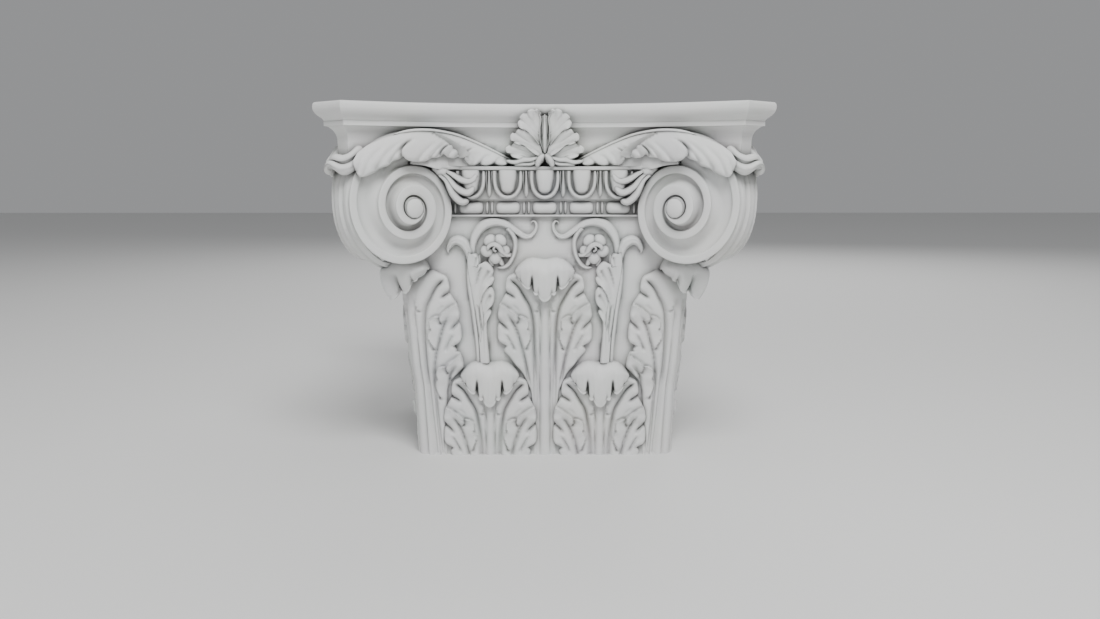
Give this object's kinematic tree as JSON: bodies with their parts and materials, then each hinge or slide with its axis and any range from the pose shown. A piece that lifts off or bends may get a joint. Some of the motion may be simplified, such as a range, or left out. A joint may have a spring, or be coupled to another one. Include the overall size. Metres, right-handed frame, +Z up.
{
  "type": "column capital",
  "caption": "Square composite capital with acanthus leaves, corner scrolls, an egg and bead band and a hollow-sided abacus, cast in one plaster block to crown a pier.",
  "frame": {"origin": "centre of the flat underside, on the surface the capital stands on", "axes": "+Z up through the middle of the abacus, -Y out of the front face, +X to the right of someone facing the front"},
  "size_m": [0.6, 0.6, 0.49],
  "materials": {
    "plaster": "matte, cast smooth"
  },
  "bodies": {
    "root": {"capital": "plaster"}
  },
  "joints": []
}
